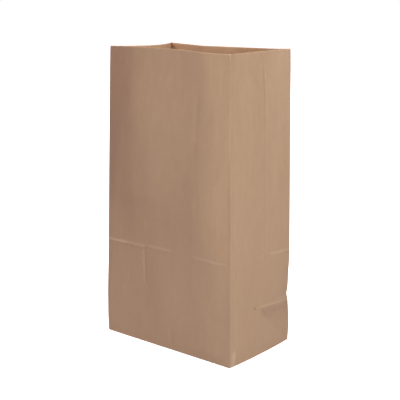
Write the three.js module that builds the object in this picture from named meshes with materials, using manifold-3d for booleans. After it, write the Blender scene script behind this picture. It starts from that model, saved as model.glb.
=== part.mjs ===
// A flat-bottomed folded paper bag of the self-opening kind, opened and standing on its base.
// Millimetres, +Z up. The origin is the centre of the base, on the plane the bag stands on.
// The wide front panel faces -Y, the wide back panel +Y, and the two gussets face +X and -X.
import * as THREE from 'three';
import { mergeVertices } from 'three/addons/utils/BufferGeometryUtils.js';
import Module from 'manifold-3d';

// Driving dimensions.
const WIDTH = 152.4;           // wide panels, fold to fold
const DEPTH = 92.1;            // gussets, fold to fold
const HEIGHT = 279.4;          // paper from the bottom fold to the cut rim
const PAPER = 0.12;            // one ply of kraft paper
const FOLD_RADIUS = 0.6;       // how far the wall turns under at the bottom fold
const FOOT_FADE = 9;           // over this height the panels leave the straight bottom fold
const SEAM_LAP = 13;           // glued overlap down the back panel
const SEAM_CENTRE = 86;        // along the back panel from its +X edge
const SEAM_RAMP = 0.4;         // width over which the overlap rises by one ply
const BASE_FLAP = 54;          // length of the flaps folded under to make the base
const FLAP_SEAT = 0.2;         // how far the flaps reach into the turned-under wall
const FLAT_FOLD = 94.8;        // height of the mark left by the base when the bag lay flat
const MARK_HALF = 6;           // half the height of the low roll that is left at that mark

// The four vertical folds. At the rim they stand drawn in from the base rectangle, and the cut edge
// stands a little off a level line. On its way up each fold bows outwards.
const FOLDS = {
  frontLeft: { rim: [-71.35, -40.6], cut: 0.6, bow: 1.3 },
  frontRight: { rim: [74.3, -46.35], cut: 0, bow: 0.2 },
  backRight: { rim: [73.9, 43.1], cut: 0, bow: 0.9 },
  backLeft: { rim: [-70.3, 44.1], cut: -0.3, bow: 0.5 },
};
const BOW_START = 14;          // each bow is full from this height
const BOW_POWER = 0.6;
const BOW_LEAN = 1.2;          // moves each bow's highest point up the fold
const PINCH = [1.0, 1.4];      // back right fold, pushed in at the gusset's ridge, in X and Y
const PINCH_SPAN = [26, 47.5, 82]; // where that pinch starts, is deepest and ends

// The cut rim.
const CUT_FADE = 40;           // the rows follow the cut edge over this height below the rim
const FRONT_CUT_RISE = 1.9;    // front edge, between its folds
const FRONT_CUT_END = 0.9;     // where that rise ends, as a share of the panel
const FRONT_CUT_POWER = 0.8;
const BACK_CUT_DIP = 0.9;      // back edge, towards its left fold
const BACK_CUT_POWER = 1.6;

// Front panel: it falls back to both folds. Slopes are outward rise per mm along the panel.
// Its left fall has two bends. The near one slants from low beside the fold to high beside the far one.
const NEAR_BEND = [[122, 1], [145, 11], [170, 15], [195, 20], [220, 27], [245, 34]];
const NEAR_SLOPE = [[100, 0], [128, 0.1], [145, 0.16], [170, 0.14], [200, 0.11], [240, 0.09]];
const NEAR_SOFTNESS = 6;       // half the width of the near bend
const FAR_BEND = [33, 46];     // the far bend, from the left fold
const FAR_SLOPE_LOW = 0.04;    // slope that the far bend ends, low on the panel
const FAR_LOW_SPAN = [30, 90];
const FAR_SLOPE_HIGH = 0.13;   // what is added to it higher up
const FAR_HIGH_SPAN = [104, 188];
const LEFT_RIM_LOSS = 0.25;    // share of the left fall that is lost at the rim
const LEFT_LOSS_SPAN = [215, 275];
const RIGHT_SLOPE = [0.05, 0.2]; // beside the right fold, at the foot and at the rim
const RIGHT_SLOPE_SPAN = [20, 150];
const RIGHT_EASE = 9;
const RIGHT_END = [22, 44];    // where the right fall ends, at the foot and at the rim
const RIGHT_END_SPAN = [60, 140];
const FRONT_MIX = [42, 108];   // from the left fold, where one fall hands over to the other
const FRONT_MARK = 0.45;       // height of the roll at the flat-fold mark

// Right gusset, opened out.
const GUSSET_CREASE = 46;      // its centre crease, from the front fold
const GUSSET_HOLLOW = 1.2;     // how far that crease stands in, and twice that at the rim
const GUSSET_DENT = [38.5, 45];
const GUSSET_RIDGE = [66, 45];
const FOOT_BOW = 1.5;          // how far its bottom fold bows out
const FOOT_BOW_POWER = 2.4;
const UNDER_RIDGE = 2;         // hollow below the ridge
const UNDER_RIDGE_RISE = [4, 35, 45];
const UNDER_RIDGE_RUN = [40, 66, 150];

// Back panel and left gusset.
const BACK_BOW = 7;            // back panel at the rim, bowed into the mouth
const BACK_BOW_POWER = 1.7;
const BACK_BOW_SPAN = [70, HEIGHT + 60];
const BACK_FOLD = 1.3;         // half-depth fold of the base, across the back panel
const BACK_FOLD_SPAN = [14, DEPTH / 2, 84];
const BACK_FOLD_INSET = 14;
const LEFT_TUCK = 11;          // left gusset at the rim, still half folded in
const LEFT_TUCK_POWER = 2.6;
const LEFT_TUCK_RISE = 1.2;
const LEFT_FADE = 40;          // over this height the folds of its base part die away above the mark

const clamp01 = (x) => Math.min(1, Math.max(0, x));
const ramp = ([low, high], x) => clamp01((x - low) / (high - low));
const smoothRamp = (span, x) => {
  const t = ramp(span, x);
  return t * t * (3 - 2 * t);
};
const tent = ([low, peak, high], x) => (
  clamp01(Math.min((x - low) / (peak - low), (high - x) / (high - peak)))
);
const lerp = (a, b, t) => a + (b - a) * t;

// Straight lines through a list of [place, value] knots.
function through(knots, x) {
  const next = knots.findIndex(([place]) => place >= x);
  if (next === 0) return knots[0][1];
  if (next < 0) return knots[knots.length - 1][1];
  const [from, to] = [knots[next - 1], knots[next]];
  return lerp(from[1], to[1], (x - from[0]) / (to[0] - from[0]));
}

// Height gained along u at slope 1 up to start, with the slope easing to 0 at end.
function easedRise(u, start, end) {
  const span = Math.max(end - start, 1e-6);
  const t = clamp01((u - start) / span);
  return Math.min(u, start) + span * (t - t ** 3 + t ** 4 / 2);
}

// A field made of flat facets between creases: the value at (u, h), from corner points [u, h, value].
function facets(points, triangles) {
  return (u, h) => {
    for (const triangle of triangles) {
      const [a, b, c] = triangle.map((name) => points[name]);
      const area = (b[0] - a[0]) * (c[1] - a[1]) - (c[0] - a[0]) * (b[1] - a[1]);
      const wb = ((u - a[0]) * (c[1] - a[1]) - (c[0] - a[0]) * (h - a[1])) / area;
      const wc = ((b[0] - a[0]) * (h - a[1]) - (u - a[0]) * (b[1] - a[1])) / area;
      if (wb > -1e-6 && wc > -1e-6 && wb + wc < 1 + 1e-6) {
        return a[2] * (1 - wb - wc) + b[2] * wb + c[2] * wc;
      }
    }
    return 0;
  };
}

// Front panel: flat in the middle, falling back to both folds, less so near the foot.
function frontField(u, h) {
  const bend = through(NEAR_BEND, h);
  const nearEnds = [Math.max(bend - NEAR_SOFTNESS, 0), bend + NEAR_SOFTNESS];
  const near = through(NEAR_SLOPE, h) * easedRise(u, ...nearEnds);
  const farLow = FAR_SLOPE_LOW * smoothRamp(FAR_LOW_SPAN, h);
  const farHigh = FAR_SLOPE_HIGH * smoothRamp(FAR_HIGH_SPAN, h);
  const far = (farLow + farHigh) * easedRise(u, ...FAR_BEND);
  const left = (near + far) * (1 - LEFT_RIM_LOSS * smoothRamp(LEFT_LOSS_SPAN, h));
  const rightSlope = lerp(...RIGHT_SLOPE, smoothRamp(RIGHT_SLOPE_SPAN, h));
  const rightEnd = lerp(...RIGHT_END, smoothRamp(RIGHT_END_SPAN, h));
  const right = rightSlope * easedRise(WIDTH - u, RIGHT_EASE, rightEnd);
  const mark = FRONT_MARK * tent([FLAT_FOLD - MARK_HALF, FLAT_FOLD, FLAT_FOLD + MARK_HALF], h);
  return lerp(left, right, smoothRamp(FRONT_MIX, u)) + mark * clamp01(Math.min(u, WIDTH - u) / MARK_HALF);
}

// Right gusset: the half-depth folds of the base meet at a dent, with a ridge from it to the back fold.
const rightFacets = facets({
  frontFoot: [0, 0, 0],
  backFoot: [DEPTH, 0, 0],
  dent: [...GUSSET_DENT, -0.3],
  ridge: [...GUSSET_RIDGE, 0.8],
  ridgeEnd: [DEPTH, 44.5, -0.4],
  frontMark: [0, 96, 0],
  midMark: [40, 95.5, 0.3],
  backMark: [DEPTH, 90.8, 0.3],
  frontRim: [0, HEIGHT, 0],
  creaseFoot: [GUSSET_CREASE, 205, -GUSSET_HOLLOW],
  creaseRim: [GUSSET_CREASE, HEIGHT, -2 * GUSSET_HOLLOW],
  backRim: [DEPTH, HEIGHT, 0],
}, [
  ['frontFoot', 'backFoot', 'dent'],
  ['frontFoot', 'dent', 'frontMark'],
  ['frontMark', 'dent', 'midMark'],
  ['dent', 'backFoot', 'ridge'],
  ['ridge', 'backFoot', 'ridgeEnd'],
  ['dent', 'ridge', 'midMark'],
  ['ridge', 'ridgeEnd', 'backMark'],
  ['ridge', 'backMark', 'midMark'],
  ['frontMark', 'midMark', 'creaseFoot'],
  ['frontMark', 'creaseFoot', 'frontRim'],
  ['midMark', 'backMark', 'creaseFoot'],
  ['backMark', 'backRim', 'creaseFoot'],
  ['frontRim', 'creaseFoot', 'creaseRim'],
  ['creaseFoot', 'backRim', 'creaseRim'],
]);
function rightField(u, h) {
  const level = Math.min(h, HEIGHT);
  return rightFacets(u, level) - UNDER_RIDGE * tent(UNDER_RIDGE_RISE, h) * tent(UNDER_RIDGE_RUN, u);
}

// Back panel, from its +X fold: bowed into the mouth, with the half-depth fold of the base across it.
function backField(u, h) {
  const across = 1 - Math.abs(2 * u / WIDTH - 1) ** BACK_BOW_POWER;
  const bow = BACK_BOW * across * smoothRamp(BACK_BOW_SPAN, h) / smoothRamp(BACK_BOW_SPAN, HEIGHT);
  const fold = BACK_FOLD * tent(BACK_FOLD_SPAN, h) * clamp01(Math.min(u, WIDTH - u) / BACK_FOLD_INSET);
  return -bow - fold;
}

// Left gusset, from its back fold: half tucked in at the rim, with the base's folds meeting at its foot.
const leftFacets = facets({
  backFoot: [0, 0, 0],
  frontFoot: [DEPTH, 0, 0],
  dent: [DEPTH / 2, DEPTH / 2, -4],
  backEnd: [0, DEPTH / 2 - 2, 0.8],
  frontEnd: [DEPTH, DEPTH / 2 - 2, 0.8],
  backMark: [0, FLAT_FOLD, 0],
  midMark: [DEPTH / 2, FLAT_FOLD, -1],
  frontMark: [DEPTH, FLAT_FOLD, 0],
}, [
  ['backFoot', 'frontFoot', 'dent'],
  ['backFoot', 'dent', 'backEnd'],
  ['dent', 'frontFoot', 'frontEnd'],
  ['backEnd', 'dent', 'backMark'],
  ['dent', 'midMark', 'backMark'],
  ['dent', 'frontEnd', 'frontMark'],
  ['dent', 'frontMark', 'midMark'],
]);
function leftField(u, h) {
  const across = 1 - Math.abs(2 * u / DEPTH - 1) ** LEFT_TUCK_POWER;
  const tuck = LEFT_TUCK * across * ramp([FLAT_FOLD, HEIGHT], h) ** LEFT_TUCK_RISE;
  const fade = 1 - ramp([FLAT_FOLD, FLAT_FOLD + LEFT_FADE], h);
  return leftFacets(u, Math.min(h, FLAT_FOLD)) * fade - tuck;
}

// The position of one vertical fold at paper height h: from its base corner, inset at the turn-under,
// to its rim corner, bowed outwards, plus the pinch on the back right fold.
function foldLine(fold, h) {
  const [rimX, rimY] = fold.rim;
  const inset = FOLD_RADIUS * clamp01(1 - h / FOLD_RADIUS);
  const t = h / HEIGHT;
  const remaining = Math.max(1 - t, 0) ** BOW_POWER;
  const bow = fold.bow * clamp01(h / BOW_START) * remaining * (1 + BOW_LEAN * t);
  const pinch = fold === FOLDS.backRight ? tent(PINCH_SPAN, h) : 0;
  return [
    lerp(Math.sign(rimX) * (WIDTH / 2 - inset), rimX, t) + Math.sign(rimX) * bow - PINCH[0] * pinch,
    lerp(Math.sign(rimY) * (DEPTH / 2 - inset), rimY, t) - PINCH[1] * pinch,
  ];
}

// Each panel runs between two folds, seen from outside from left to right.
const PANELS = [
  {
    from: FOLDS.frontLeft,
    to: FOLDS.frontRight,
    normal: [0, -1],
    field: frontField,
    cutShape: (q) => FRONT_CUT_RISE * Math.sin(Math.PI * clamp01(q / FRONT_CUT_END)) ** FRONT_CUT_POWER,
    footBow: () => 0,
    columns: [0, 5, 12, 20, 29, 38, 50, 66, 82, 96, 108, 120, 132, 143],
    width: WIDTH,
  },
  {
    from: FOLDS.frontRight,
    to: FOLDS.backRight,
    normal: [1, 0],
    field: rightField,
    cutShape: () => 0,
    footBow: (q) => FOOT_BOW * (1 - Math.abs(2 * q - 1) ** FOOT_BOW_POWER),
    columns: [0, 13, 26, GUSSET_DENT[0], GUSSET_CREASE, 56, GUSSET_RIDGE[0], 79],
    width: DEPTH,
  },
  {
    from: FOLDS.backRight,
    to: FOLDS.backLeft,
    normal: [0, 1],
    field: backField,
    cutShape: (q) => -BACK_CUT_DIP * Math.sin(Math.PI * q ** BACK_CUT_POWER),
    footBow: () => 0,
    columns: [0, 14, 30, 48, 64, SEAM_CENTRE - SEAM_LAP / 2 - SEAM_RAMP, SEAM_CENTRE - SEAM_LAP / 2,
      SEAM_CENTRE + SEAM_LAP / 2, SEAM_CENTRE + SEAM_LAP / 2 + SEAM_RAMP, 108, 124, 138],
    width: WIDTH,
  },
  {
    from: FOLDS.backLeft,
    to: FOLDS.frontLeft,
    normal: [-1, 0],
    field: leftField,
    cutShape: () => 0,
    footBow: () => 0,
    columns: [0, 10, 22, 34, DEPTH / 2, 58, 70, 82],
    width: DEPTH,
  },
];

// Paper heights of the rows: close together at the folds of the base and at the flat-fold mark.
const ROWS = [0, FOLD_RADIUS, FOOT_FADE, 24, 36, GUSSET_DENT[1], 58, 72, FLAT_FOLD - MARK_HALF, FLAT_FOLD,
  FLAT_FOLD + MARK_HALF, 114, 130, 148, 165, 182, 205, 225, HEIGHT - CUT_FADE, 252, 265, HEIGHT];

// One column of the wall, foot to rim. Heights come from the paper's own length, so a bowed
// column ends lower than an upright one.
function wallColumn(panel, u) {
  const q = u / panel.width;
  const cut = lerp(panel.from.cut, panel.to.cut, q) + panel.cutShape(q);
  let height = 0;
  let before = null;
  return ROWS.map((row) => {
    const h = row + cut * smoothRamp([HEIGHT - CUT_FADE, HEIGHT], row);
    const a = foldLine(panel.from, h);
    const b = foldLine(panel.to, h);
    const foot = panel.footBow(q) * (1 - smoothRamp([0, FLAT_FOLD], h));
    const out = panel.field(u, h) * clamp01(h / FOOT_FADE) + foot;
    const x = lerp(a[0], b[0], q) + panel.normal[0] * out;
    const y = lerp(a[1], b[1], q) + panel.normal[1] * out;
    if (before) {
      const run = Math.hypot(x - before.x, y - before.y);
      height += Math.sqrt(Math.max((h - before.h) ** 2 - run ** 2, 0.01));
    }
    before = { x, y, h };
    return new THREE.Vector3(x, y, height);
  });
}

// The seam stands one ply proud of the back panel.
function seamLift(panel, u) {
  const onSeam = panel.field === backField && Math.abs(u - SEAM_CENTRE) < SEAM_LAP / 2 + SEAM_RAMP / 2;
  return onSeam ? PAPER : 0;
}

// Outward directions at every grid point, averaged over the two panels at a fold and lengthened
// there so that the wall keeps its thickness.
function outwardDirections(grid) {
  return grid.map((column, i) => column.map((point, j) => {
    const left = grid[(i + grid.length - 1) % grid.length];
    const right = grid[(i + 1) % grid.length];
    const up = column[Math.min(j + 1, column.length - 1)].clone().sub(column[Math.max(j - 1, 0)]);
    const before = point.clone().sub(left[j]).cross(up).normalize();
    const after = right[j].clone().sub(point).cross(up).normalize();
    const sum = before.clone().add(after);
    return sum.multiplyScalar(1 / (1 + before.dot(after)));
  }));
}

// The wall as a closed tube: outer skin, inner skin one ply inside it, cut rim, and foot.
function wallGeometry() {
  const lifts = PANELS.flatMap((panel) => panel.columns.map((u) => seamLift(panel, u)));
  const grid = PANELS.flatMap((panel) => panel.columns.map((u) => wallColumn(panel, u)));
  const out = outwardDirections(grid);
  const count = grid.length;
  const rows = ROWS.length;
  const outer = grid.map((column, i) => column.map((p, j) => p.clone().addScaledVector(out[i][j], lifts[i])));
  const inner = grid.map((column, i) => column.map((p, j) => p.clone().addScaledVector(out[i][j], -PAPER)));
  for (let i = 0; i < count; i += 1) {
    inner[i][0].z = 0;
    outer[i][0].z = 0;
    inner[i][rows - 1].z = outer[i][rows - 1].z;
  }
  const positions = [...outer.flat(), ...inner.flat()].flatMap((p) => [p.x, p.y, p.z]);
  const indices = [];
  const quad = (a, b, c, d) => indices.push(a, b, c, a, c, d);
  for (let i = 0; i < count; i += 1) {
    const here = i * rows;
    const next = ((i + 1) % count) * rows;
    const inside = count * rows;
    for (let j = 0; j < rows - 1; j += 1) {
      quad(here + j, next + j, next + j + 1, here + j + 1);
      quad(inside + here + j, inside + here + j + 1, inside + next + j + 1, inside + next + j);
    }
    const top = rows - 1;
    quad(here + top, next + top, inside + next + top, inside + here + top);
    quad(here, inside + here, inside + next, next);
  }
  const geometry = new THREE.BufferGeometry();
  geometry.setAttribute('position', new THREE.Float32BufferAttribute(positions, 3));
  geometry.setIndex(indices);
  return geometry;
}

// One flap of the base: an outline in plan, from one ply height to another.
function flapGeometry(outline, lowPly, highPly) {
  const shape = new THREE.Shape(outline.map(([x, y]) => new THREE.Vector2(x, y)));
  const depth = (highPly - lowPly) * PAPER;
  return new THREE.ExtrudeGeometry(shape, { depth, bevelEnabled: false }).translate(0, 0, lowPly * PAPER);
}

// The bottom fold of the right gusset between its corners, which the base flaps follow.
function bowedFoot() {
  const gusset = PANELS[1];
  return gusset.columns.slice(1).map((u) => {
    const foot = wallColumn(gusset, u)[0];
    return [foot.x + FLAP_SEAT, foot.y];
  });
}

// The base: gusset flaps folded in first, then one long flap, then the other lapped over it.
// Their corners are folded at 45 degrees, so each long flap narrows towards its free edge.
function baseGeometries() {
  const x = WIDTH / 2 - FOLD_RADIUS + FLAP_SEAT;
  const y = DEPTH / 2 - FOLD_RADIUS + FLAP_SEAT;
  const longFlap = (side) => [
    [-x, side * y],
    [x, side * y],
    [x - BASE_FLAP, side * (y - BASE_FLAP)],
    [-x + BASE_FLAP, side * (y - BASE_FLAP)],
  ];
  const leftEdge = [[-x, y], [-x, -y]];
  const rightEdge = [[x, -y], ...bowedFoot(), [x, y]];
  const endFlap = (side, edge) => [
    ...edge,
    [side * (x - BASE_FLAP), side * y],
    [side * (x - BASE_FLAP), -side * y],
  ];
  return [
    flapGeometry([...leftEdge, ...rightEdge], 2, 3),
    flapGeometry(longFlap(-1), 0, 2.5),
    flapGeometry(longFlap(1), 1, 2.5),
    flapGeometry(endFlap(-1, leftEdge), 2.5, 4),
    flapGeometry(endFlap(1, rightEdge), 2.5, 4),
  ];
}

const wasm = await Module();
wasm.setup();

// Turns a closed geometry into a solid that can be joined to others.
function solidFrom(geometry) {
  const bare = geometry.clone();
  bare.deleteAttribute('normal');
  bare.deleteAttribute('uv');
  const merged = mergeVertices(bare, 1e-5);
  return new wasm.Manifold(new wasm.Mesh({
    numProp: 3,
    vertProperties: new Float32Array(merged.getAttribute('position').array),
    triVerts: new Uint32Array(merged.getIndex().array),
  }));
}

// Turns a solid back into a geometry.
function geometryFrom(solid) {
  const mesh = solid.getMesh();
  const geometry = new THREE.BufferGeometry();
  geometry.setAttribute('position', new THREE.Float32BufferAttribute(mesh.vertProperties, 3));
  geometry.setIndex(new THREE.Uint32BufferAttribute(mesh.triVerts, 1));
  geometry.computeVertexNormals();
  return geometry;
}

function bagMesh() {
  const solid = baseGeometries().reduce((bag, flap) => bag.add(solidFrom(flap)), solidFrom(wallGeometry()));
  const paper = new THREE.MeshStandardMaterial({ color: 0xa9866d, roughness: 0.9, metalness: 0 });
  const mesh = new THREE.Mesh(geometryFrom(solid), paper);
  mesh.name = 'folded_paper_bag';
  return mesh;
}

const bag = new THREE.Group();
bag.add(bagMesh());

export default bag;
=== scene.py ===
import math

import bpy
import numpy as np
from mathutils import Euler, Matrix


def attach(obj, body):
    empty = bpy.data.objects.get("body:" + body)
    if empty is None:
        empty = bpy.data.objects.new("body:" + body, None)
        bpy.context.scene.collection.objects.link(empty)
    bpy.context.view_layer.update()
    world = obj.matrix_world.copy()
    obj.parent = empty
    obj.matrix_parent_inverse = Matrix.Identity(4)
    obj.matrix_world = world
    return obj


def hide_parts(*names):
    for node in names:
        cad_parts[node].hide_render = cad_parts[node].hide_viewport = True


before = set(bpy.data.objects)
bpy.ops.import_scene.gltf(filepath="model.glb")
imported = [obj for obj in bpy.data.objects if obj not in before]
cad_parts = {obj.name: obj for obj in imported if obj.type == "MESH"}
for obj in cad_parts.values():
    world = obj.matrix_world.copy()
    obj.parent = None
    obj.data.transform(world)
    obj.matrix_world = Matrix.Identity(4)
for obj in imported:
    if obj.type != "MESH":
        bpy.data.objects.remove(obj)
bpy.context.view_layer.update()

bl_info = {
    "name": "Folded Paper Bag",
    "version": (1, 0, 0),
    "blender": (4, 5, 0),
    "location": "View3D > Sidebar > Paper Bag",
    "description": "Builds a flat-bottomed kraft paper bag, opened and standing, around its packed frame",
    "category": "Add Mesh",
}

NODE = "folded_paper_bag"
BODY = "root"
MM = 0.001

# The standard bag, in mm: wide panel, gusset, and paper from the bottom fold to the rim.
WIDTH = 152.4
DEPTH = 92.1
HEIGHT = 279.4

# Where the four vertical folds stand at the rim, in mm: the mouth is drawn in from the base rectangle.
RIM = {
    "front_left": (-71.35, -40.6),
    "front_right": (74.3, -46.35),
    "back_right": (73.9, 43.1),
    "back_left": (-70.3, 44.1),
}

# How far the cut edge stands above a level line at those folds, in mm.
RIM_CUT = {"front_left": 0.6, "front_right": 0.0, "back_right": 0.0, "back_left": -0.3}

# How far each of those folds bows outwards on its way up, in mm.
FOLD_BOW = {"front_left": 1.1, "front_right": 0.2, "back_right": 0.9, "back_left": 0.5}

# Where the folds of the base meet on the right gusset, in mm from its front fold and up the paper.
DENT_U = 38.5
DENT_H = 46.5

# Height of the pinch in the back right fold, where the base's fold line ran across it, in mm.
PINCH_H = 47.5

# The crease up the middle of the right gusset near the rim, in mm from its front fold.
CREASE_U = 54.0

# The side of the wall's quads away from folds and creases, in mm.
SPACING = 2.1

# Where on the sheet the lap and the base plies take their paper's pattern from, in mm.
LAP_PATTERN = 300.0
BASE_PATTERN = 400.0

# What the camera and the lamps look at, in metres.
CAMERA_AIM = np.array([0.003589, 0.0, 0.136335])
LAMP_AIM = np.array([0.0, 0.0, 0.14])

# Red, green and blue of the light from all round: warm, as light that has met paper already.
AMBIENT_TINT = (1.4, 0.55, 0.65)


# ---------------------------------------------------------------------------------------------------
# Small mathematics, on whole arrays
# ---------------------------------------------------------------------------------------------------

def unit_step(low, high, x):
    """0 below low, 1 above high, a straight ramp between."""
    return np.clip((x - low) / (high - low), 0.0, 1.0)


def smooth_step(low, high, x):
    """0 below low, 1 above high, and 3t^2 - 2t^3 between."""
    t = unit_step(low, high, x)
    return t * t * (3.0 - 2.0 * t)


def window(x, low, high, soft):
    """1 between low and high, fading to 0 over the distance soft outside each end."""
    return smooth_step(low - soft, low, x) * (1.0 - smooth_step(high, high + soft, x))


def tent(x, low, peak, high):
    """A straight rise from low to peak, then a straight fall to high."""
    return np.clip(np.minimum((x - low) / (peak - low), (high - x) / (high - peak)), 0.0, 1.0)


def bell(x, width):
    """exp(-(x / width)^2)."""
    return np.exp(-((x / width) ** 2))


def eased_rise(u, start, end):
    """The height gained along u at slope 1 up to start, with the slope easing to 0 at end."""
    span = np.maximum(end - start, 1e-6)
    t = np.clip((u - start) / span, 0.0, 1.0)
    return np.minimum(u, start) + span * (t - t**3 + t**4 / 2.0)


def along_line(u, h, start, end, width):
    """1 on the straight line from start to end, falling as a bell of that width with distance."""
    du, dh = end[0] - start[0], end[1] - start[1]
    t = np.clip(((u - start[0]) * du + (h - start[1]) * dh) / (du * du + dh * dh), 0.0, 1.0)
    away = np.hypot(u - start[0] - t * du, h - start[1] - t * dh)
    return bell(away, width)


def facets(u, h, points, triangles):
    """Flat facets between creases: each triangle of named points (u, h, value) fills its own area."""
    value = np.zeros(np.broadcast(u, h).shape)
    for names in triangles:
        a, b, c = (points[name] for name in names)
        area = (b[0] - a[0]) * (c[1] - a[1]) - (c[0] - a[0]) * (b[1] - a[1])
        wb = ((u - a[0]) * (c[1] - a[1]) - (c[0] - a[0]) * (h - a[1])) / area
        wc = ((b[0] - a[0]) * (h - a[1]) - (u - a[0]) * (b[1] - a[1])) / area
        inside = (wb > -1e-6) & (wc > -1e-6) & (wb + wc < 1.0 + 1e-6)
        value = np.where(inside, a[2] * (1.0 - wb - wc) + b[2] * wb + c[2] * wc, value)
    return value


def softened(field, u, h, radius):
    """The mean of a field at a point and at four points around it, which rounds its creases."""
    around = field(u - radius, h) + field(u + radius, h) + field(u, h - radius) + field(u, h + radius)
    return (2.0 * field(u, h) + around) / 6.0


def graded(length, spacing, details):
    """Places from 0 to length, spacing apart, closer around each detail (place, reach, gain)."""
    fine = np.linspace(0.0, length, 4001)
    density = np.ones_like(fine)
    for place, reach, gain in details:
        density = np.maximum(density, 1.0 + gain * bell(fine - place, reach))
    total = np.concatenate([[0.0], np.cumsum((density[1:] + density[:-1]) / 2.0)])
    total *= (fine[1] - fine[0]) / spacing
    count = int(round(total[-1]))
    return np.interp(np.linspace(0.0, total[-1], count + 1), total, fine)


def cockle(s, h, seed, size):
    """The faint unevenness of handled paper: a sum of sines with seeded directions and lengths."""
    draw = np.random.default_rng(seed)
    total = np.zeros(np.broadcast(s, h).shape)
    waves, shortest, longest = 14, 22.0, 80.0
    for _ in range(waves):
        length = draw.uniform(shortest, longest)
        turn = draw.uniform(-0.9, 0.9)
        phase = draw.uniform(0.0, 2.0 * math.pi)
        wave = 2.0 * math.pi / length
        total += np.sin(wave * (math.cos(turn) * s + math.sin(turn) * h * 0.6) + phase) * length
    mean_length = (shortest + longest) / 2.0
    return size * total / (mean_length * math.sqrt(waves / 2.0))


# ---------------------------------------------------------------------------------------------------
# The four panels: how far each leaves its plane, and where its folds show pale or dark
# u runs along the panel from its left fold seen from outside, h up the paper from the bottom fold, in mm
# ---------------------------------------------------------------------------------------------------

def front_out(u, h, bag):
    """Crowned front panel: it falls back to both side folds, less so near the foot, with its wrinkles."""
    # Beside the left fold: a bend that leaves the fold as it rises, and the slope up to it.
    bend_levels = [122.0, 145.0, 170.0, 195.0, 220.0, 245.0]
    bend_places = [1.0, 11.0, 15.0, 20.0, 27.0, 34.0]
    slope_levels = [100.0, 128.0, 145.0, 170.0, 200.0, 240.0]
    slopes = [0.0, 0.1, 0.16, 0.14, 0.11, 0.09]
    near_bend = np.interp(h, bend_levels, bend_places)
    near_slope = np.interp(h, slope_levels, slopes)
    near = near_slope * eased_rise(u, np.maximum(near_bend - 6.0, 0.0), near_bend + 6.0)
    far_slope = 0.04 * smooth_step(30.0, 90.0, h) + 0.13 * smooth_step(80.0, 215.0, h)
    left = (near + far_slope * eased_rise(u, 33.0, 46.0)) * (1.0 - 0.25 * smooth_step(215.0, 275.0, h))
    right_reach = 22.0 + 22.0 * smooth_step(60.0, 140.0, h)
    right_slope = 0.05 + 0.15 * smooth_step(20.0, 150.0, h)
    right = right_slope * eased_rise(bag.width_mm - u, 9.0, right_reach)
    crown = left + (right - left) * smooth_step(42.0, 108.0, u)
    imprint_at = np.interp(h, [140.0, 200.0, 237.0, 267.0], [117.0, 115.4, 118.0, 118.6])
    imprint = -0.22 * bell(u - imprint_at, 2.6) * window(h, 140.0, 240.0, 25.0)
    hollow = -0.35 * bell(u - 106.0, 14.0) * window(h, 130.0, 215.0, 40.0)
    mark_places = [0.0, 50.0, 56.0, 84.0, 115.0, 140.0]
    mark_rises = [0.0, 0.5, 2.2, 2.6, 2.6, 0.6]
    mark_at = bag.mark_mm + np.interp(u, mark_places, mark_rises)
    faint = window(u, 54.0, 84.0, 3.0) + window(u, 114.0, 146.0, 4.0)
    mark = bell(h - mark_at, 1.3) * (0.45 * window(u, 3.0, 50.0, 4.0) + 0.18 * faint)
    wrinkle = -0.24 * bell(u - 50.7, 1.5) * window(h, 66.0, 90.0, 12.0)
    wrinkle += 0.18 * bell(u - 110.5, 2.5) * window(h, 62.0, 86.0, 5.0)
    wrinkle -= 0.35 * bell(u - 84.0, 1.6) * window(h, 4.0, 18.0, 6.0)
    bumps = 0.3 * bell(np.hypot(u - 40.0, h - 163.0), 3.0)
    bumps += 0.25 * bell(np.hypot(u - 51.0, h - 116.0), 3.5)
    return crown + imprint + hollow + mark + wrinkle + bumps


def right_creases(u, h):
    """Opened gusset: the folds of the base meet at a dent, and a ridge runs from it to the back fold."""
    points = {
        "front_foot": (0, 0, 0.0), "back_foot": (DEPTH, 0, 0.0), "dent": (DENT_U, DENT_H, 0.6),
        "ridge": (66, 44.2, 0.8), "ridge_end": (DEPTH, 41.6, -0.4), "front_mark": (0, 96, 0.0),
        "mid_mark": (40, 95.5, 0.3), "back_mark": (DEPTH, 90.8, 0.3), "front_rim": (0, HEIGHT, 0.0),
        "crease_foot": (52, 205, -1.2), "crease_rim": (CREASE_U, HEIGHT, -2.4),
        "back_rim": (DEPTH, HEIGHT, 0.0),
    }
    triangles = [
        ("front_foot", "back_foot", "dent"), ("front_foot", "dent", "front_mark"),
        ("front_mark", "dent", "mid_mark"), ("dent", "back_foot", "ridge"),
        ("ridge", "back_foot", "ridge_end"), ("dent", "ridge", "mid_mark"),
        ("ridge", "ridge_end", "back_mark"), ("ridge", "back_mark", "mid_mark"),
        ("front_mark", "mid_mark", "crease_foot"), ("front_mark", "crease_foot", "front_rim"),
        ("mid_mark", "back_mark", "crease_foot"), ("back_mark", "back_rim", "crease_foot"),
        ("front_rim", "crease_foot", "crease_rim"), ("crease_foot", "back_rim", "crease_rim"),
    ]
    return facets(np.clip(u, 0.0, DEPTH), np.clip(h, 0.0, HEIGHT), points, triangles)


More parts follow.
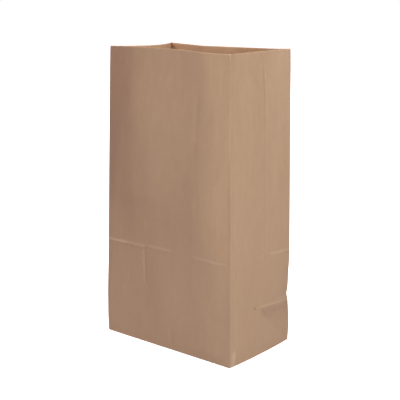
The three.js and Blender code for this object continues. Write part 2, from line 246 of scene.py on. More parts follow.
def right_out(u, h, bag):
    """The right gusset's facets, rounded more above the flat-fold mark, and its fine creases."""
    crisp = softened(right_creases, u, h, 0.8)
    broad = softened(right_creases, u, h, 7.0)
    above = smooth_step(92.0, 112.0, h)
    centre_reach = window(h, 212.0, 262.0, 10.0) + 0.4 * window(h, 100.0, 200.0, 10.0)
    centre = -0.3 * bell(u - (CREASE_U - 0.2), 1.1) * centre_reach
    mark_at = np.interp(u, [0.0, 20.0, DEPTH], [96.0, 96.0, 91.8])
    mark = bell(h - mark_at, 1.2) * (0.1 * window(u, 38.0, 50.0, 6.0) + 0.3 * window(u, 60.0, 88.0, 6.0))
    dimple = -0.9 * bell(np.hypot(u - DENT_U, h - DENT_H), 2.0)
    under = -2.0 * tent(h, 4.0, 35.0, 44.5) * tent(u, 40.0, 66.0, 150.0)
    foot = 0.9 * tent(u, 0.5, 6.0, 11.0) * (1.0 - smooth_step(4.0, 19.0, h))
    lean = -1.6 * (1.0 - np.abs(2.0 * u / bag.depth_mm - 1.0) ** 4.0) * smooth_step(225.0, 285.0, h)
    return crisp + (broad - crisp) * above + centre + mark + dimple + under + foot + lean


def back_out(u, h, bag):
    """Back panel: bowed into the mouth, kinked beside the stiff seam, with the base's fold across it."""
    q = u / bag.width_mm
    across = 1.0 - np.abs(2.0 * q - 1.0) ** 1.7
    start, stop = 70.0, bag.height_mm + 60.0
    rise = smooth_step(start, stop, h) / smooth_step(start, stop, bag.height_mm)
    bow = -7.0 * across * rise
    kink = 1.0 * window(u, 22.0, 62.0, 14.0) * smooth_step(170.0, HEIGHT, h)
    from_side = np.minimum(u, bag.width_mm - u)
    crossing = softened(lambda a, b: tent(b, 14.0, bag.depth_mm / 2.0, 84.0), u, h, 0.8)
    fold = -1.3 * crossing * unit_step(0.0, 14.0, from_side)
    mark = 0.3 * bell(h - bag.mark_mm, 1.3) * window(u, 6.0, bag.width_mm - 6.0, 4.0)
    return bow + kink + fold + mark


def left_creases(u, h):
    """Left gusset below the flat-fold mark: the folds of the base meet at a shallow dent."""
    points = {
        "back_foot": (0, 0, 0.0), "front_foot": (DEPTH, 0, 0.0), "dent": (46, 46, -4.0),
        "back_end": (0, 44, 0.8), "front_end": (DEPTH, 44, 0.8), "back_mark": (0, 90, 0.0),
        "mid_mark": (46, 90, -1.0), "front_mark": (DEPTH, 90, 0.0),
    }
    triangles = [
        ("back_foot", "front_foot", "dent"), ("back_foot", "dent", "back_end"),
        ("dent", "front_foot", "front_end"), ("back_end", "dent", "back_mark"),
        ("dent", "mid_mark", "back_mark"), ("dent", "front_end", "front_mark"),
        ("dent", "front_mark", "mid_mark"),
    ]
    return facets(np.clip(u, 0.0, DEPTH), np.clip(h, 0.0, 90.0), points, triangles)


def left_out(u, h, bag):
    """Left gusset: still half tucked in at the rim along its centre crease."""
    q = np.abs(2.0 * u / bag.depth_mm - 1.0)
    tuck = -11.0 * (1.0 - q**2.6) * unit_step(bag.mark_mm, bag.height_mm, h) ** 1.2
    crease = -0.7 * bell(u - bag.depth_mm / 2.0, 1.2) * smooth_step(60.0, 120.0, h)
    mark = 0.3 * bell(h - bag.mark_mm, 1.3) * window(u, 6.0, 86.0, 4.0)
    fade = 1.0 - unit_step(bag.mark_mm, bag.mark_mm + 40.0, h)
    return softened(left_creases, u, h, 0.8) * fade + tuck + crease + mark


def front_marks(u, h, bag):
    """Pale and dark lines of the front panel: crushed fibre with a painted highlight along the flat-fold
    mark, painted highlight and painted shade at its wrinkles and imprint, and broad patches of painted light
    and shade.
    """
    # Crushed fibre with a painted highlight along the flat-fold mark.
    pale = 1.0 * along_line(u, h, (1, bag.mark_mm - 0.4), (26, bag.mark_mm + 0.6), 0.9)
    pale += 0.5 * along_line(u, h, (28, bag.mark_mm + 0.4), (50, bag.mark_mm + 0.4), 0.8)
    pale += 0.5 * along_line(u, h, (56, bag.mark_mm + 2.2), (84, bag.mark_mm + 2.6), 0.9)
    pale += 0.35 * along_line(u, h, (112, bag.mark_mm + 2.6), (140, bag.mark_mm + 0.8), 0.8)
    # A painted highlight and painted shade either side of a wrinkle, then painted shade in the imprint and
    # the foot wrinkle.
    pale += 0.2 * along_line(u, h, (49.4, 64), (48.6, 92), 1.0)
    dark = 0.2 * along_line(u, h, (52.4, 62), (52.0, 90), 1.0)
    dark += 0.25 * along_line(u, h, (113.5, 150), (114.7, 200), 1.6)
    dark += 0.2 * along_line(u, h, (85.5, 2), (85, 20), 1.2)
    # Painted light towards the foot and in a broad patch low down, and a broad patch of painted shade higher
    # up.
    pale += 0.07 * (1.0 - smooth_step(60.0, 130.0, h))
    pale += 0.08 * bell(u - 96.0, 14.0) * window(h, 40.0, 105.0, 20.0)
    dark += 0.1 * bell(u - 88.0, 12.0) * window(h, 150.0, 205.0, 25.0)
    return pale, dark


def right_marks(u, h, bag):
    """Pale and dark lines of the right gusset: painted highlights along the ridge and at the foot of the
    front fold, crushed fibre with a painted highlight along the flat-fold mark, painted light towards the
    back and the rim, and painted shade in the dent, the creases, the facet below the ridge, beside the front
    fold and towards the foot.
    """
    ridge_at = DENT_H + 0.4 - 0.1 * (u - DENT_U)
    # A painted highlight along the ridge, then crushed fibre with a painted highlight along the flat-fold
    # mark.
    pale = 0.35 * along_line(u, h, (46, 46.6), (91.5, 42.1), 1.0)
    pale += 0.15 * along_line(u, h, (38, 95), (50, 94.3), 0.8)
    pale += 0.4 * along_line(u, h, (60, 93.8), (91, 92), 0.8)
    # A painted highlight at the foot of the front fold, and painted light that grows towards the back and
    # the rim.
    pale += 0.6 * along_line(u, h, (4, 1), (5, 12), 2.2)
    pale += 0.14 * smooth_step(48.0, 76.0, u) * smooth_step(150.0, 240.0, h)
    # Painted shade in the dent and along the creases around it and up the middle.
    dark = 1.0 * bell(np.hypot(u - DENT_U, h - DENT_H), 1.6)
    dark += 0.4 * along_line(u, h, (CREASE_U, 214), (CREASE_U, 262), 0.7)
    dark += 0.2 * along_line(u, h, (DENT_U, DENT_H - 0.5), (91, 2), 1.0)
    dark += 0.3 * along_line(u, h, (48.5, 44), (53, 36.5), 1.4)
    # Painted shade on the tilted facet below the ridge, and above the line from the dent to the foot of the
    # back fold.
    above_hip = (h - 46.3) + (u - DENT_U) * 46.3 / 53.6
    under = unit_step(0.0, 2.0, ridge_at - h) * unit_step(0.0, 4.0, above_hip)
    under = under * (0.5 + 0.5 * smooth_step(18.0, 36.0, h))
    dark += 0.34 * under * smooth_step(40.0, 48.0, u)
    # Painted shade beside the front fold, and painted shade that grows towards the foot.
    dark += 0.12 * bell(u, 7.0) + 0.12 * (1.0 - smooth_step(50.0, 140.0, h))
    return pale, dark


def back_marks(u, h, bag):
    """Pale lines where the back panel was folded flat."""
    pale = 0.7 * along_line(u, h, (3, bag.depth_mm / 2), (149, bag.depth_mm / 2), 0.8)
    pale += 0.5 * along_line(u, h, (3, bag.mark_mm), (149, bag.mark_mm), 0.8)
    return pale, 0.0 * pale


def left_marks(u, h, bag):
    """Pale lines of the left gusset: the centre crease and the folds of the base."""
    half = bag.depth_mm / 2.0
    pale = 0.7 * along_line(u, h, (half, half), (half, bag.height_mm), 0.8)
    pale += 0.6 * along_line(u, h, (2, half - 2), (half, half), 0.8)
    pale += 0.6 * along_line(u, h, (half, half), (90, half - 2), 0.8)
    pale += 0.4 * along_line(u, h, (1, 1), (half, half), 0.8)
    pale += 0.4 * along_line(u, h, (half, half), (91, 1), 0.8)
    pale += 0.4 * along_line(u, h, (3, bag.mark_mm), (89, bag.mark_mm), 0.8)
    return pale, 0.0 * pale


def painted_shade_inside_mask(name, u, h, bag):
    """Painted shade for the inner side: a wedge inside the back left fold, from the rim and wider lower
    down, and a wash over the back panel that grows towards the back right fold.
    """
    if name != "back":
        return 0.0 * u
    from_fold, depth = bag.width_mm - u, bag.height_mm - h
    reach = 1.5 + 1.9 * depth
    wedge = 1.0 - smooth_step(0.75, 1.05, from_fold / reach)
    wedge = wedge * (1.0 - 0.35 * from_fold / 16.0) * (1.0 - smooth_step(7.0, 30.0, depth))
    # Painted shade over the back panel's inner side, growing towards the back right fold.
    return np.maximum(wedge, 0.42 * (1.0 - smooth_step(24.0, 104.0, u)))


# name, fold at its left, fold at its right, outward normal, shape, marks, and vertical details to grade for
PANELS = [
    ("front", "front_left", "front_right", (0.0, -1.0), front_out, front_marks, (50.5, 115.0)),
    ("right", "front_right", "back_right", (1.0, 0.0), right_out, right_marks, (DENT_U, CREASE_U)),
    ("back", "back_right", "back_left", (0.0, 1.0), back_out, back_marks, ()),
    ("left", "back_left", "front_left", (-1.0, 0.0), left_out, left_marks, (46.0,)),
]


def panel_width(panel, bag):
    """Fold to fold, in mm: the wide panels face along Y and the gussets along X."""
    return bag.width_mm if panel[3][0] == 0.0 else bag.depth_mm


def rim_cut(panel, u, bag):
    """How far the cut edge leaves a level line, in mm: straight between the folds, but the front stands up
    a little and the back dips towards its left fold."""
    name, left, right = panel[:3]
    q = u / panel_width(panel, bag)
    cut = RIM_CUT[left] * (1.0 - q) + RIM_CUT[right] * q
    if name == "front":
        cut = cut + 1.9 * np.sin(np.pi * unit_step(0.0, 0.9, q)) ** 0.8
    if name == "back":
        places = [0.0, 0.15, 0.5, 0.7, 0.9, 1.0]
        dips = [0.0, -0.55, -0.55, -1.0, -0.3, 0.0]
        cut = cut + np.interp(q, places, dips)
    return cut


def foot_bow(y, bag):
    """How far the bottom fold of the right gusset stands out of line, in mm, at y from the middle."""
    return 1.5 * np.maximum(1.0 - np.abs(2.0 * y / bag.depth_mm) ** 2.4, 0.0)


def fold_radius(name, h):
    """How softly each vertical fold is bent, in mm: the front right one opens towards the rim."""
    if name == "front_right":
        return 0.3 + 1.0 * smooth_step(266.0, HEIGHT, h)
    return 0.6 + 0.0 * h


def fold_line(name, h, bag):
    """One vertical fold: straight from its base corner to its rim corner, turned under at the foot."""
    rim_x, rim_y = RIM[name]
    side_x, side_y = math.copysign(1.0, rim_x), math.copysign(1.0, rim_y)
    under = bag.turn_mm * (1.0 - unit_step(0.0, bag.turn_mm, h))
    t = h / bag.height_mm
    x = side_x * (bag.width_mm / 2.0 - under) * (1.0 - t) + rim_x * t
    y = side_y * (bag.depth_mm / 2.0 - under) * (1.0 - t) + rim_y * t
    left_to_rim = np.maximum(1.0 - t, 0.0)
    x = x + side_x * FOLD_BOW[name] * unit_step(0.0, 14.0, h) * left_to_rim**0.6 * (1.0 + 1.2 * t)
    if name == "back_right":
        pinch = softened(lambda a, b: tent(b, 26.0, PINCH_H, 82.0), 0.0, h, 1.2)
        notch = softened(lambda a, b: tent(b, PINCH_H - 6.5, PINCH_H, PINCH_H + 6.5), 0.0, h, 0.8)
        x, y = x - 0.9 * pinch - 0.5 * notch, y - 1.2 * pinch - 0.6 * notch
    return x, y


def paper_height(x, y, h):
    """Height of every point of columns whose paper height is h: each stretch of paper rises by the square
    root of its length squared less its sideways run squared. Stretches are long, so fine creases don't
    count."""
    knots = np.unique(np.append(np.arange(0, h.shape[1], 12), h.shape[1] - 1))
    run = np.hypot(np.diff(x[:, knots], axis=1), np.diff(y[:, knots], axis=1))
    length = np.diff(h[:, knots], axis=1)
    rise = np.sqrt(np.maximum(length**2 - run**2, 0.25 * length**2))
    level = np.concatenate([np.zeros((rise.shape[0], 1)), np.cumsum(rise, axis=1)], axis=1)
    part = np.clip(np.searchsorted(knots, np.arange(h.shape[1]), side="right") - 1, 0, len(knots) - 2)
    share = (h - h[:, knots[part]]) / length[:, part]
    return level[:, part] + share * rise[:, part]


def panel_points(panel, u, h, bag, lift=0.0):
    """A panel's points in mm: straight between its two folds, pushed out by its shape, with both folds
    rounded as quarter arcs. Height comes from the paper's own length, so a bowed column stands lower."""
    name, left, right, normal, shape, _, _ = panel
    width = panel_width(panel, bag)
    h = h + rim_cut(panel, u, bag) * smooth_step(bag.height_mm - 40.0, bag.height_mm, h)
    left_x, left_y = fold_line(left, h, bag)
    right_x, right_y = fold_line(right, h, bag)
    q = u / width
    edge = unit_step(0.0, 3.0, np.minimum(u, width - u))
    seed = sum(map(ord, name))
    uneven = cockle(u, h, seed, bag.cockle_mm) * edge * unit_step(0.0, 14.0, h)
    out = shape(u, h, bag) * unit_step(0.0, 9.0, h) + uneven
    if name == "right":
        out = out + foot_bow(u - width / 2.0, bag) * (1.0 - smooth_step(0.0, bag.mark_mm, h))
    out = out + lift
    along = 0.0 * out
    for corner, distance, sign in ((left, u, -1.0), (right, width - u, 1.0)):
        radius = fold_radius(corner, h)
        near = np.clip(distance, 0.0, radius)
        turn = math.pi / 4.0 * (radius - near) / radius
        out = out - radius * (1.0 - np.cos(turn))
        along = along + sign * (radius * np.sin(turn) - (radius - near))
    tangent = (-normal[1], normal[0])
    x = left_x + (right_x - left_x) * q + normal[0] * out + tangent[0] * along
    y = left_y + (right_y - left_y) * q + normal[1] * out + tangent[1] * along
    return x, y, paper_height(x, y, h)


# ---------------------------------------------------------------------------------------------------
# Making meshes
# ---------------------------------------------------------------------------------------------------

def clipped(values):
    """A layer's values, kept between 0 and 1, in one row."""
    return np.clip(values, 0.0, 1.0).reshape(-1)


def grid_faces(columns, rows, closed):
    """Quads of a grid stored column by column, with the last column joined to the first if closed."""
    spans = columns if closed else columns - 1
    i, j = np.meshgrid(np.arange(spans), np.arange(rows - 1), indexing="ij")
    here, there = i * rows + j, (i + 1) % columns * rows + j
    return np.stack([here, there, there + 1, here + 1], axis=-1).reshape(-1, 4)


def make_piece(name, points, faces, layers, uv):
    """A mesh object from points in mm, quads, a float layer for each named attribute, and a UV in mm, which
    is kept in metres."""
    mesh = bpy.data.meshes.new(name)
    mesh.from_pydata((points * MM).tolist(), [], faces.tolist())
    for layer, values in layers.items():
        attribute = mesh.attributes.new(layer, "FLOAT", "POINT")
        attribute.data.foreach_set("value", np.ascontiguousarray(values, dtype=np.float32))
    corners = mesh.uv_layers.new(name="paper")
    corners.data.foreach_set("uv", (uv * MM).astype(np.float32).reshape(-1))
    mesh.polygons.foreach_set("use_smooth", np.ones(len(faces), dtype=bool))
    mesh.update()
    piece = bpy.data.objects.new(name, mesh)
    bpy.context.scene.collection.objects.link(piece)
    return piece


def add_wall_thickness(piece, bag):
    """Gives a sheet its one ply, inwards from the outer skin, with the cut edge in its own finish."""
    solid = piece.modifiers.new("ply", "SOLIDIFY")
    solid.thickness = bag.ply_mm * MM
    solid.offset = -1.0
    solid.use_even_offset = True
    solid.use_rim = True
    solid.material_offset = 2
    solid.material_offset_rim = 1


def finish_piece(piece, bag, replaces=()):
    """Materials and body of one piece, and hides the packed parts that it replaces."""
    piece.data.materials.append(kraft_paper(bag))
    piece.data.materials.append(cut_edge(bag))
    piece.data.materials.append(kraft_paper(bag, inner=True))
    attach(piece, BODY)
    for node in replaces:
        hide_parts(node)


# ---------------------------------------------------------------------------------------------------
# Materials
# ---------------------------------------------------------------------------------------------------

def linear(hex_colour):
    """An sRGB hex colour as linear red, green, blue and 1."""
    channels = [int(hex_colour[i:i + 2], 16) / 255.0 for i in (1, 3, 5)]
    return tuple(c / 12.92 if c <= 0.04045 else ((c + 0.055) / 1.055) ** 2.4 for c in channels) + (1.0,)


def add_node(tree, kind, inputs=None, **settings):
    """Adds one node. Each input, by name or place, takes a socket that feeds it or a value of its own.
    Settings are properties of the node."""
    node = tree.nodes.new(kind)
    for key, value in settings.items():
        setattr(node, key, value)
    for key, value in (inputs or {}).items():
        if isinstance(value, bpy.types.NodeSocket):
            tree.links.new(value, node.inputs[key])
        else:
            node.inputs[key].default_value = value
    return node


def new_material(name):
    """An empty material with a Principled shader, as (material, node tree, shader)."""
    material = bpy.data.materials.new(name)
    material.use_nodes = True
    return material, material.node_tree, material.node_tree.nodes["Principled BSDF"]


def kraft_paper(bag, inner=False):
    """Unbleached kraft paper, made on a wire and dried on a smooth cylinder: cloudy formation, long fibres
    along the machine direction, dark bark specks, and crushed fibres that show pale along each fold. The
    pale layer also carries painted highlights and painted light, and the dark layer painted shade. The inner
    side is the unglazed one, warmer and a little lighter, with painted shade in the nook and over the back's
    right part."""
    name = "unbleached kraft paper, unglazed side" if inner else "unbleached kraft paper"
    if name in bpy.data.materials:
        return bpy.data.materials[name]
    material, tree, shader = new_material(name)
    uv = add_node(tree, "ShaderNodeUVMap", uv_map="paper").outputs["UV"]
    # name, width of a cell in mm, its length in widths, detail, and the range of noise that it spans
    patterns = (
        ("clouds", 9.0, 2.0, 3.0, 0.3, 0.7),
        ("streaks", 1.6, 30.0, 2.0, 0.3, 0.7),
        ("fibres", 0.7, 5.0, 2.0, 0.3, 0.7),
        ("specks", 1.0, 1.3, 0.0, 0.84, 0.9),
    )
    level = {}
    for pattern, wide, stretch, detail, low, high in patterns:
        scale = (1.0 / (wide * MM), 1.0 / (wide * stretch * MM), 1.0)
        place = add_node(tree, "ShaderNodeMapping", {"Vector": uv, "Scale": scale})
        grains = {"Vector": place.outputs["Vector"], "Scale": 1.0, "Detail": detail}
        noise = add_node(tree, "ShaderNodeTexNoise", grains, noise_dimensions="2D")
        span = {"Value": noise.outputs["Fac"], "From Min": low, "From Max": high}
        level[pattern] = add_node(tree, "ShaderNodeMapRange", span).outputs["Result"]
    for mark in ("pale", "dark", "painted_shade_inside"):
        level[mark] = add_node(tree, "ShaderNodeAttribute", attribute_name=mark).outputs["Fac"]
    # What lies over the dark places of the sheet, how strongly, and in which colour.
    layers = [
        ("clouds", 1.0, bag.paper_light),
        ("streaks", 0.17, bag.paper_streak),
        ("fibres", 0.16, bag.paper_fibre),
        ("specks", 0.5, bag.bark_speck),
        # Crushed fibre in the pale layer, together with painted highlights and painted light.
        ("pale", 0.6, bag.crushed_fibre_and_highlight),
        # Painted shade in the dark layer.
        ("dark", 0.4, bag.painted_shade_colour),
    ]
    if inner:
        # The inner side's own warmer tone, then painted shade in the nook and over the back panel's right
        # part.
        layers += [("", 0.7, bag.inner_warm), ("painted_shade_inside", 0.71, bag.painted_shade_inside_colour)]
    colour = linear(bag.paper_dark)
    for mark, strength, tint in layers:
        share = {0: level.get(mark, 1.0), 1: strength}
        amount = add_node(tree, "ShaderNodeMath", share, operation="MULTIPLY", use_clamp=True)
        blend = {0: amount.outputs["Value"], 6: colour, 7: linear(tint)}
        colour = add_node(tree, "ShaderNodeMix", blend, data_type="RGBA").outputs[2]
    tree.links.new(colour, shader.inputs["Base Color"])
    # The cylinder leaves one side faintly glazed, so the sheen breaks up with the formation.
    sheen = {"Value": level["clouds"], "To Min": 0.62, "To Max": 0.78}
    roughness = add_node(tree, "ShaderNodeMapRange", sheen)
    tree.links.new(roughness.outputs["Result"], shader.inputs["Roughness"])
    shader.inputs["IOR"].default_value = 1.5
    shader.inputs["Specular IOR Level"].default_value = 0.35
    grain = add_node(tree, "ShaderNodeMath", {0: level["fibres"], 1: level["clouds"]}, operation="ADD")
    relief = {"Height": grain.outputs["Value"], "Strength": 0.5, "Distance": 0.05 * MM}
    bump = add_node(tree, "ShaderNodeBump", relief)
    tree.links.new(bump.outputs["Normal"], shader.inputs["Normal"])
    return material


def cut_edge(bag):
    """The guillotined edge of kraft paper: torn fibre ends scatter more light, so it is paler and matt."""
    name = "cut kraft paper edge"
    if name in bpy.data.materials:
        return bpy.data.materials[name]
    material, tree, shader = new_material(name)
    uv = add_node(tree, "ShaderNodeUVMap", uv_map="paper").outputs["UV"]
    tufts = add_node(tree, "ShaderNodeTexNoise", {"Vector": uv, "Scale": 1.0 / (1.5 * MM)})
    blend = {0: tufts.outputs["Fac"], 6: linear(bag.edge_light), 7: linear(bag.paper_light)}
    colour = add_node(tree, "ShaderNodeMix", blend, data_type="RGBA")
    tree.links.new(colour.outputs[2], shader.inputs["Base Color"])
    shader.inputs["Roughness"].default_value = 0.95
    return material


# ---------------------------------------------------------------------------------------------------
# Sizes and colours that a user would change
# ---------------------------------------------------------------------------------------------------

def length_property(name, description, default):
    """A length in millimetres."""
    settings = {"name": name, "description": description + ", in mm", "default": default}
    return bpy.props.FloatProperty(min=0.0, precision=2, **settings)


def number_property(name, description, default, **settings):
    """Any other number. Settings are its unit or subtype, where one fits."""
    return bpy.props.FloatProperty(name=name, description=description, default=default, **settings)


def colour_property(name, description, default):
    """An sRGB colour as hex."""
    return bpy.props.StringProperty(name=name, description=description, default=default)


class KRAFTBAG_PG_bag(bpy.types.PropertyGroup):
    """Sizes and colours of the bag."""

    width_mm: length_property("Width", "Wide panels, fold to fold", WIDTH)
    depth_mm: length_property("Depth", "Gussets, fold to fold", DEPTH)
    height_mm: length_property("Height", "Paper from the bottom fold to the rim", HEIGHT)
    ply_mm: length_property("Ply", "Thickness of the paper", 0.12)
    turn_mm: length_property("Turn", "How far the wall turns under at the bottom fold", 0.6)
    flap_mm: length_property("Base flap", "Length of the flaps folded under to make the base", 54.0)
    mark_mm: length_property("Flat-fold mark", "Height of the mark left by the base folded flat", 94.8)
    lap_mm: length_property("Seam lap", "Width of the glued overlap down the back", 13.0)
    seam_mm: length_property("Seam place", "From the back panel's right fold to mid-overlap", 86.0)
    cockle_mm: length_property("Cockle", "Height of the paper's faint unevenness", 0.22)
    paper_light: colour_property("Paper, light", "Thin places in the sheet", "#B69A7E")
    paper_dark: colour_property("Paper, dark", "Thick places in the sheet", "#B09478")
    paper_streak: colour_property("Streaks", "Lines along the machine direction", "#A3866C")
    paper_fibre: colour_property("Fibres", "Single fibres", "#C2A58B")
    bark_speck: colour_property("Bark specks", "Dark flecks of bark", "#8D7058")
    # Crushed fibre along folds, and also the colour of painted highlights and patches of painted light.
    crushed_fibre_and_highlight: colour_property("Crushed fibre", "Folds, where the fibres are broken", "#DCC4AC")
    # Painted shade: the colour laid into creases, wrinkles, folds and tilted facets where shade falls, and
    # evenly a little over the back seam's lap.
    painted_shade_colour: colour_property("Crease shade", "Handled and shaded creases", "#6E5442")
    inner_warm: colour_property("Inner side", "The unglazed inner side", "#CDA787")
    # Painted shade, on the inner side only: the nook inside the back left fold and the back panel's right
    # part.
    painted_shade_inside_colour: colour_property("Nook shade", "Inside the back left fold at the rim", "#6B4022")
    edge_light: colour_property("Cut edge", "Fibre ends along the cut rim", "#DCC6AE")


class KRAFTBAG_PG_stage(bpy.types.PropertyGroup):
    """Camera and light."""

    azimuth: number_property("Azimuth", "Camera, in degrees round from the front", 39.446)
    elevation: number_property("Elevation", "Camera, in degrees up from level", 13.196)
    distance: number_property("Distance", "Camera to its aim", 0.88425, unit="LENGTH")
    lens: number_property("Lens", "Focal length in mm", 83.905)
    roll: number_property("Roll", "Camera, in degrees about its view", 0.067)
    key_power: number_property("Key", "Key light in watts", 15.1)
    top_power: number_property("Top", "Soft light overhead, in watts", 9.0)
    fill_power: number_property("Fill", "Fill light behind, in watts", 40.0)
    ambient: number_property("Ambient", "Light from all round", 0.16)


# ---------------------------------------------------------------------------------------------------
# The pieces
# ---------------------------------------------------------------------------------------------------

class KRAFTBAG_OT_wall(bpy.types.Operator):
    """Build the wall of the bag: two panels and two gussets, as one sheet joined round"""

    bl_idname = "kraftbag.wall"
    bl_label = "Bag wall"

    def execute(self, context):
        bag = context.scene.kraft_bag
        foot_row, ridge_row = (0.0, 2.0, 3.0), (44.0, 5.0, 1.2)
        mark_row, rim_row = (bag.mark_mm - 1.0, 4.0, 1.6), (bag.height_mm, 2.0, 1.0)
        rows = graded(bag.height_mm, SPACING, [foot_row, ridge_row, mark_row, rim_row])
        blocks, uvs, girth = [], [], 0.0
        layers = {"pale": [], "dark": [], "painted_shade_inside": []}
        for panel in PANELS:
            name, _, _, _, _, marks, fine_places = panel
            width = panel_width(panel, bag)
            details = [(0.0, 2.6, 3.0), (width, 2.6, 3.0)] + [(place, 3.0, 1.6) for place in fine_places]
            columns = graded(width, SPACING, details)[:-1]
            u, h = np.meshgrid(columns, rows, indexing="ij")
            blocks.append(np.stack(panel_points(panel, u, h, bag), axis=-1))
            pale, dark = marks(u, h, bag)
            at_fold = bell(np.minimum(u, width - u), 0.9)
            layers["pale"].append(pale + 0.3 * bell(h, 0.9))
            # Painted shade along the vertical folds of the front panel and the right gusset.
            layers["dark"].append(dark + 0.3 * at_fold * (name in ("front", "right")))
            # Painted shade for the inner side.
            layers["painted_shade_inside"].append(painted_shade_inside_mask(name, u, h, bag))
            uvs.append(np.stack([u + girth, h], axis=-1))
            girth += width
        grid = np.concatenate(blocks)
        faces = grid_faces(grid.shape[0], grid.shape[1], closed=True)
        uv = np.concatenate(uvs).reshape(-1, 2)[faces]
        # The last column joins the first, so its far side is drawn one whole girth along.
        last = faces[:, 1] < faces[:, 0]
        uv[last, 1, 0] = girth
        uv[last, 2, 0] = girth
        flat = {mark: clipped(np.concatenate(parts)) for mark, parts in layers.items()}
        piece = make_piece("bag_wall", grid.reshape(-1, 3), faces, flat, uv)
        add_wall_thickness(piece, bag)
        finish_piece(piece, bag, [NODE])
        return {"FINISHED"}


class KRAFTBAG_OT_seam(bpy.types.Operator):
    """Build the glued overlap that closes the sheet, down the back panel"""

    bl_idname = "kraftbag.seam"
    bl_label = "Back seam"

    def execute(self, context):
        bag = context.scene.kraft_bag
        # The lap is a strip of the back panel's own surface, lifted off it by one ply.
        columns = np.linspace(bag.seam_mm - bag.lap_mm / 2.0, bag.seam_mm + bag.lap_mm / 2.0, 12)
        rows = graded(bag.height_mm, 2.4, [(44.0, 5.0, 1.0), (bag.mark_mm, 4.0, 1.0)])
        u, h = np.meshgrid(columns, rows, indexing="ij")
        lift = bag.ply_mm * 1.05
        back = PANELS[2]
        grid = np.stack(panel_points(back, u, h, bag, lift), axis=-1)
        edge = np.minimum(u - columns[0], columns[-1] - u)
        pale, dark = back_marks(u, h, bag)
        layers = {"pale": clipped(pale + 0.5 * bell(edge, 0.8)), "dark": clipped(dark + 0.15)}
        faces = grid_faces(grid.shape[0], grid.shape[1], closed=False)
        uv = np.stack([u + LAP_PATTERN, h], axis=-1).reshape(-1, 2)[faces]
        piece = make_piece("back_seam_lap", grid.reshape(-1, 3), faces, layers, uv)
        add_wall_thickness(piece, bag)
        finish_piece(piece, bag)
        return {"FINISHED"}


def base_sheet(name, bag, outline, level, facing):
    """One ply of the base. The outline gives x limits and y for (a, b) in the unit square, and level gives
    the ply's lower height in mm from x and y. facing is 1 for a ply seen from inside, -1 from below."""
    a, b = np.meshgrid(np.linspace(0.0, 1.0, 90), np.linspace(0.0, 1.0, 60), indexing="ij")
    x, y = outline(a, b)
    z = level(x, y) + (bag.ply_mm if facing > 0 else 0.0)
    grid = np.stack([x, y, z], axis=-1)
    faces = grid_faces(grid.shape[0], grid.shape[1], closed=False)
    if facing < 0:
        faces = faces[:, ::-1]
    from_end, from_side = bag.width_mm / 2.0 - np.abs(x), bag.depth_mm / 2.0 - np.abs(y)
    from_hip = np.abs(from_end - from_side) / math.sqrt(2.0)
    on_hip = bell(from_hip, 0.8) * (from_end < bag.flap_mm)
    at_rim = bell(np.minimum(from_end, from_side), 1.2)
    layers = {"pale": clipped(0.6 * on_hip + 0.4 * at_rim), "dark": np.zeros(x.size)}
    uv = np.stack([x + BASE_PATTERN, y], axis=-1).reshape(-1, 2)[faces]
    piece = make_piece(name, grid.reshape(-1, 3), faces, layers, uv)
    if facing > 0:
        piece.data.polygons.foreach_set("material_index", np.full(len(faces), 2, dtype=np.int32))
    add_wall_thickness(piece, bag)
    finish_piece(piece, bag)


class KRAFTBAG_OT_base(bpy.types.Operator):
    """Build the folded base: gusset flaps first, then one long flap, then the other lapped over it"""

    bl_idname = "kraftbag.base"
    bl_label = "Folded base"

    def execute(self, context):
        bag = context.scene.kraft_bag
        half_x = bag.width_mm / 2.0 - bag.turn_mm * 0.8
        half_y = bag.depth_mm / 2.0 - bag.turn_mm * 0.8
        ply = bag.ply_mm

        def whole(a, b):
            """The whole base rectangle, with its right side bowed out as the gusset's foot is."""
            y = (2.0 * b - 1.0) * half_y
            return (2.0 * a - 1.0) * half_x + a * foot_bow(y, bag), y

        def long_flap(side):
            """A flap that narrows by its own depth at each end, as its hips run in at 45 degrees."""
            def outline(a, b):
                inward = b * bag.flap_mm
                y = side * (half_y - inward)
                return side * (1.0 - 2.0 * a) * (half_x - inward), y
            return outline

        def end_flap(side):
            """A rectangle from the end fold inwards, the full width of the gusset."""
            def outline(a, b):
                y = side * (1.0 - 2.0 * b) * half_y
                bow = foot_bow(y, bag) * (1.0 - a) * (side > 0.0)
                return side * (half_x - a * bag.flap_mm) + bow, y
            return outline

        def dome(x, y):
            """The arch that keeps the bag on its rim: the product of two parabolas, 0.5 mm at the middle."""
            return 0.5 * (1.0 - (x / half_x) ** 2) * (1.0 - (y / half_y) ** 2)

        def inner_level(x, y):
            """Four plies up over the end flaps, and one ply lower between them."""
            flap_end = half_x - bag.flap_mm
            past_flap = smooth_step(flap_end + 2.0, flap_end, np.abs(x))
            return 4.2 * ply + dome(x, y) - 1.1 * ply * past_flap

        def end_level(x, y):
            """Above both long flaps."""
            return 3.0 * ply + dome(x, y)

        def outer_level(x, y):
            """The front flap, the lowest."""
            return dome(x, y) * 0.9

        def lapped_level(x, y):
            """The back flap: it steps up over the front one where they lap."""
            return dome(x, y) * 0.95 + 1.5 * ply * (1.0 - smooth_step(7.0, 14.0, y))

        base_sheet("base_inside_ply", bag, whole, inner_level, 1.0)
        base_sheet("base_end_flap_right", bag, end_flap(1.0), end_level, -1.0)
        base_sheet("base_end_flap_left", bag, end_flap(-1.0), end_level, -1.0)
        base_sheet("base_long_flap_back", bag, long_flap(1.0), lapped_level, -1.0)
        base_sheet("base_long_flap_front", bag, long_flap(-1.0), outer_level, -1.0)
        return {"FINISHED"}


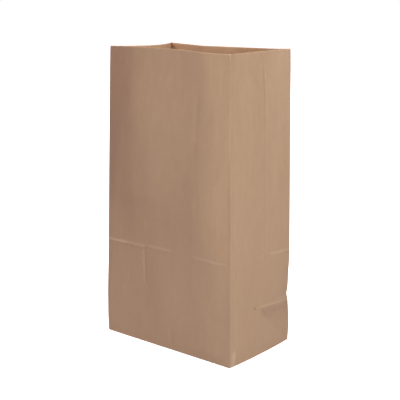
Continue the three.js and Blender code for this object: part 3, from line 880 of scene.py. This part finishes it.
class KRAFTBAG_OT_stage(bpy.types.Operator):
    """Set the floor, the lights and the camera"""

    bl_idname = "kraftbag.stage"
    bl_label = "Floor, lights and camera"

    def execute(self, context):
        scene, stage = context.scene, context.scene.kraft_stage
        add_floor(scene)
        add_world(scene, stage)
        # name, degrees round from the front and up from level, distance and size in metres, watts, colour
        lamps = (
            ("key", 54.0, 15.0, 1.4, 0.5, stage.key_power, (0.975, 1.08, 1.01)),
            ("overhead", 0.0, 90.0, 0.95, 1.0, stage.top_power, (1.0, 1.02, 1.0)),
            ("fill_behind", 235.0, 30.0, 2.3, 1.2, stage.fill_power, (1.0, 0.98, 0.95)),
        )
        for lamp in lamps:
            add_lamp(scene, *lamp)
        data = bpy.data.cameras.new("camera")
        data.lens = stage.lens
        data.sensor_width = 36.0
        data.clip_end = 20.0
        camera = bpy.data.objects.new("camera", data)
        place_facing(camera, CAMERA_AIM, stage.azimuth, stage.elevation, stage.distance, stage.roll)
        scene.collection.objects.link(camera)
        scene.camera = camera
        scene.view_settings.view_transform = "Standard"
        scene.view_settings.look = "None"
        return {"FINISHED"}


def place_facing(thing, aim, azimuth, elevation, distance, roll=0.0):
    """Puts a camera or lamp at an azimuth round from the front and an elevation, looking at its aim."""
    turn, tilt = math.radians(azimuth), math.radians(elevation)
    back = np.array([math.sin(turn) * math.cos(tilt), -math.cos(turn) * math.cos(tilt), math.sin(tilt)])
    thing.location = (aim + back * distance).tolist()
    upright = Euler((math.pi / 2.0 - tilt, 0.0, turn)).to_matrix()
    thing.rotation_euler = (upright @ Matrix.Rotation(math.radians(roll), 3, "Z")).to_euler()


def add_floor(scene):
    """A plain pale floor, large enough to fill the view from any side."""
    size = 6.0
    corners = [(-size, -size, 0.0), (size, -size, 0.0), (size, size, 0.0), (-size, size, 0.0)]
    mesh = bpy.data.meshes.new("floor")
    mesh.from_pydata(corners, [], [(0, 1, 2, 3)])
    floor = bpy.data.objects.new("floor", mesh)
    scene.collection.objects.link(floor)
    material, _, shader = new_material("matt white sweep")
    shader.inputs["Base Color"].default_value = (0.9, 0.9, 0.9, 1.0)
    shader.inputs["Emission Color"].default_value = (1.0, 1.0, 1.0, 1.0)
    shader.inputs["Emission Strength"].default_value = 1.0
    shader.inputs["Roughness"].default_value = 1.0
    shader.inputs["Specular IOR Level"].default_value = 0.0
    mesh.materials.append(material)
    floor.visible_diffuse = False


def add_world(scene, stage):
    """A white surround that the camera sees at full strength and that lights the bag more faintly."""
    world = bpy.data.worlds.new("white surround")
    world.use_nodes = True
    tree = world.node_tree
    background = tree.nodes["Background"]
    path = add_node(tree, "ShaderNodeLightPath")
    glow = tuple(stage.ambient * c for c in AMBIENT_TINT) + (1.0,)
    blend = {0: path.outputs["Is Camera Ray"], 6: glow, 7: (1.0, 1.0, 1.0, 1.0)}
    seen = add_node(tree, "ShaderNodeMix", blend, data_type="RGBA")
    tree.links.new(seen.outputs[2], background.inputs["Color"])
    scene.world = world


def add_lamp(scene, name, azimuth, elevation, distance, size, power, colour):
    """A square soft box turned towards the bag."""
    data = bpy.data.lights.new(name, "AREA")
    data.shape = "SQUARE"
    data.size = size
    data.energy = power
    data.color = colour
    lamp = bpy.data.objects.new(name, data)
    place_facing(lamp, LAMP_AIM, azimuth, elevation, distance)
    scene.collection.objects.link(lamp)


class KRAFTBAG_PT_panel(bpy.types.Panel):
    """Sidebar panel that lists the sizes, the colours and the steps"""

    bl_idname = "KRAFTBAG_PT_panel"
    bl_label = "Paper Bag"
    bl_space_type = "VIEW_3D"
    bl_region_type = "UI"
    bl_category = "Paper Bag"

    def draw(self, context):
        for group in (context.scene.kraft_bag, context.scene.kraft_stage):
            for key in group.__annotations__:
                self.layout.prop(group, key)
        for operator in OPERATORS:
            self.layout.operator(operator.bl_idname)


OPERATORS = (KRAFTBAG_OT_stage, KRAFTBAG_OT_wall, KRAFTBAG_OT_seam, KRAFTBAG_OT_base)
CLASSES = (KRAFTBAG_PG_bag, KRAFTBAG_PG_stage, *OPERATORS, KRAFTBAG_PT_panel)


def register():
    for cls in CLASSES:
        bpy.utils.register_class(cls)
    bpy.types.Scene.kraft_bag = bpy.props.PointerProperty(type=KRAFTBAG_PG_bag)
    bpy.types.Scene.kraft_stage = bpy.props.PointerProperty(type=KRAFTBAG_PG_stage)


def unregister():
    del bpy.types.Scene.kraft_stage
    del bpy.types.Scene.kraft_bag
    for cls in reversed(CLASSES):
        bpy.utils.unregister_class(cls)


def main():
    register()
    bpy.ops.kraftbag.stage()
    bpy.ops.kraftbag.wall()
    bpy.ops.kraftbag.seam()
    bpy.ops.kraftbag.base()


if __name__ == "__main__":
    main()
